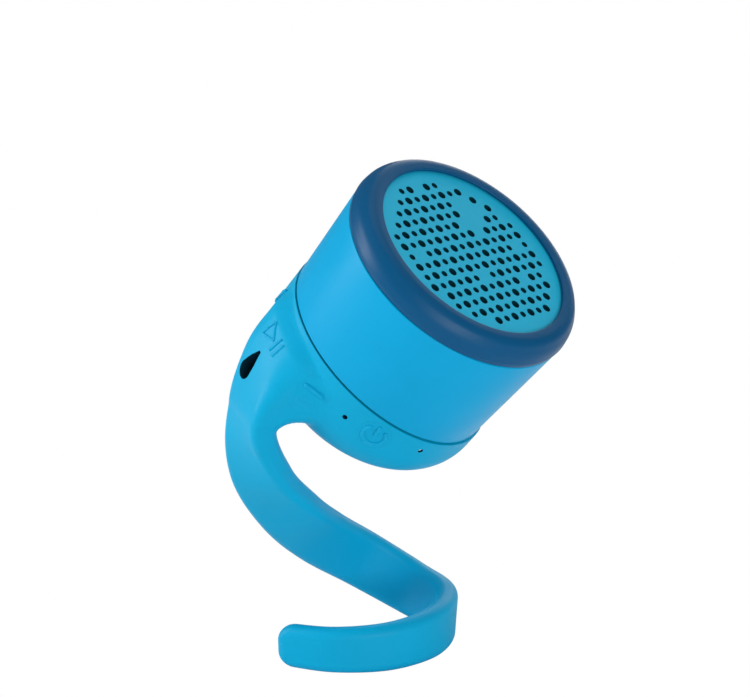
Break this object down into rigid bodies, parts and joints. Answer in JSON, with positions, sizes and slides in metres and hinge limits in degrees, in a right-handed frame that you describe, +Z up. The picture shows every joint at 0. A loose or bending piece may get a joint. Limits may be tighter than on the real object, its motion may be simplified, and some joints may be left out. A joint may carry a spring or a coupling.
{
  "type": "shower speaker",
  "caption": "Small round waterproof speaker in a silicone boot with a perforated front, side keys and a bendable tail that curls into a stand.",
  "frame": {"origin": "on the surface it stands on, under the middle of the whole object's box", "axes": "+Z up; the grille faces up, forward to -Y and right to +X; the tail is curled underneath with its tip towards -X"},
  "size_m": [0.0864, 0.0744, 0.1252],
  "materials": {
    "shell": "satin moulded plastic, cyan",
    "boot_silicone": "matt silicone with a fine grain, cyan",
    "bezel": "satin moulded plastic, deep blue",
    "grille": "satin perforated plate, light cyan",
    "black_mesh": "fine water-tight acoustic cloth",
    "steel": "plated steel",
    "magnet": "sintered ferrite",
    "paper": "coated paper and cloth",
    "black_rubber": "matt black rubber and foam",
    "copper": "enamelled copper wire",
    "board": "solder-masked board",
    "black_plastic": "matt black plastic",
    "battery": "foil pouch cell",
    "lead": "insulated wire pair",
    "clear_white": "translucent white plastic"
  },
  "bodies": {
    "pod": {"housing": "shell", "bezel_ring": "bezel", "grille": "grille", "acoustic_mesh": "black_mesh", "driver_gasket": "black_rubber", "driver_basket": "steel", "driver_screw_1": "steel", "driver_screw_2": "steel", "driver_screw_3": "steel", "driver_screw_4": "steel", "surround": "black_rubber", "spider": "paper", "top_plate": "steel", "magnet": "magnet", "yoke": "steel", "main_board": "board", "radio_shield": "steel", "speaker_connector": "black_plastic", "battery_connector": "black_plastic", "battery": "battery", "battery_pad": "black_rubber", "key_board": "board", "microphone": "steel", "status_led": "clear_white", "light_guide": "clear_white", "charge_socket": "steel", "port_board": "board", "speaker_lead": "lead", "battery_lead": "lead", "switch_play": "black_plastic", "switch_volume_down": "black_plastic", "switch_volume_up": "black_plastic", "switch_power": "black_plastic", "boot": "boot_silicone"},
    "cone_assembly": {"cone": "paper", "dust_cap": "paper", "voice_coil": "copper"},
    "play_key": {"key_play": "boot_silicone", "plunger_play": "clear_white"},
    "volume_down_key": {"key_volume_down": "boot_silicone", "plunger_volume_down": "clear_white"},
    "volume_up_key": {"key_volume_up": "boot_silicone", "plunger_volume_up": "clear_white"},
    "power_key": {"key_power": "boot_silicone", "plunger_power": "clear_white"},
    "tail_1": {"tail_link_1": "boot_silicone", "tail_core_1": "steel"},
    "tail_2": {"tail_link_2": "boot_silicone", "tail_core_2": "steel"},
    "tail_3": {"tail_link_3": "boot_silicone", "tail_core_3": "steel"},
    "tail_4": {"tail_link_4": "boot_silicone", "tail_core_4": "steel"},
    "tail_5": {"tail_link_5": "boot_silicone", "tail_core_5": "steel"},
    "tail_6": {"tail_link_6": "boot_silicone", "tail_core_6": "steel"}
  },
  "joints": [
    {"name": "cone_travel", "type": "slide", "parent": "pod", "child": "cone_assembly", "axis": [0.5153, -0.4309, 0.7408], "range_m": [-0.001, 0.001], "stiffness_N_per_m": 1200},
    {"name": "play_press", "type": "slide", "parent": "pod", "child": "play_key", "axis": [0.8041, 0.5421, -0.244], "range_m": [0, 0.0006], "stiffness_N_per_m": 1600},
    {"name": "volume_down_press", "type": "slide", "parent": "pod", "child": "volume_down_key", "axis": [0.5595, 0.8239, 0.09], "range_m": [0, 0.0006], "stiffness_N_per_m": 1600},
    {"name": "volume_up_press", "type": "slide", "parent": "pod", "child": "volume_up_key", "axis": [0.847, 0.1244, -0.5168], "range_m": [0, 0.0006], "stiffness_N_per_m": 1600},
    {"name": "power_press", "type": "slide", "parent": "pod", "child": "power_key", "axis": [0.1009, 0.8889, 0.4468], "range_m": [0, 0.0006], "stiffness_N_per_m": 1600},
    {"name": "tail_bend_1", "type": "hinge", "parent": "pod", "child": "tail_1", "pos_m": [-0.03542, -0.00561, 0.05264], "axis": [0.7248, -0.6825, -0.094], "range_deg": [-25, 25]},
    {"name": "tail_bend_2", "type": "hinge", "parent": "tail_1", "child": "tail_2", "pos_m": [-0.02673, 0.00579, 0.03348], "axis": [0.9002, -0.1849, 0.3942], "range_deg": [-25, 25]},
    {"name": "tail_bend_3", "type": "hinge", "parent": "tail_2", "child": "tail_3", "pos_m": [-0.0144, 0.02084, 0.01932], "axis": [0.6154, 0.0436, 0.787], "range_deg": [-25, 25]},
    {"name": "tail_bend_4", "type": "hinge", "parent": "tail_3", "child": "tail_4", "pos_m": [0.00511, 0.02048, 0.00769], "axis": [0.3213, 0.063, 0.9449], "range_deg": [-25, 25]},
    {"name": "tail_bend_5", "type": "hinge", "parent": "tail_4", "child": "tail_5", "pos_m": [0.01112, -0.0012, 0.00649], "axis": [0.0089, -0.0262, 0.9996], "range_deg": [-25, 25]},
    {"name": "tail_bend_6", "type": "hinge", "parent": "tail_5", "child": "tail_6", "pos_m": [-0.00657, -0.01604, 0.00583], "axis": [-0.0312, -0.0051, 0.9995], "range_deg": [-25, 25]}
  ]
}
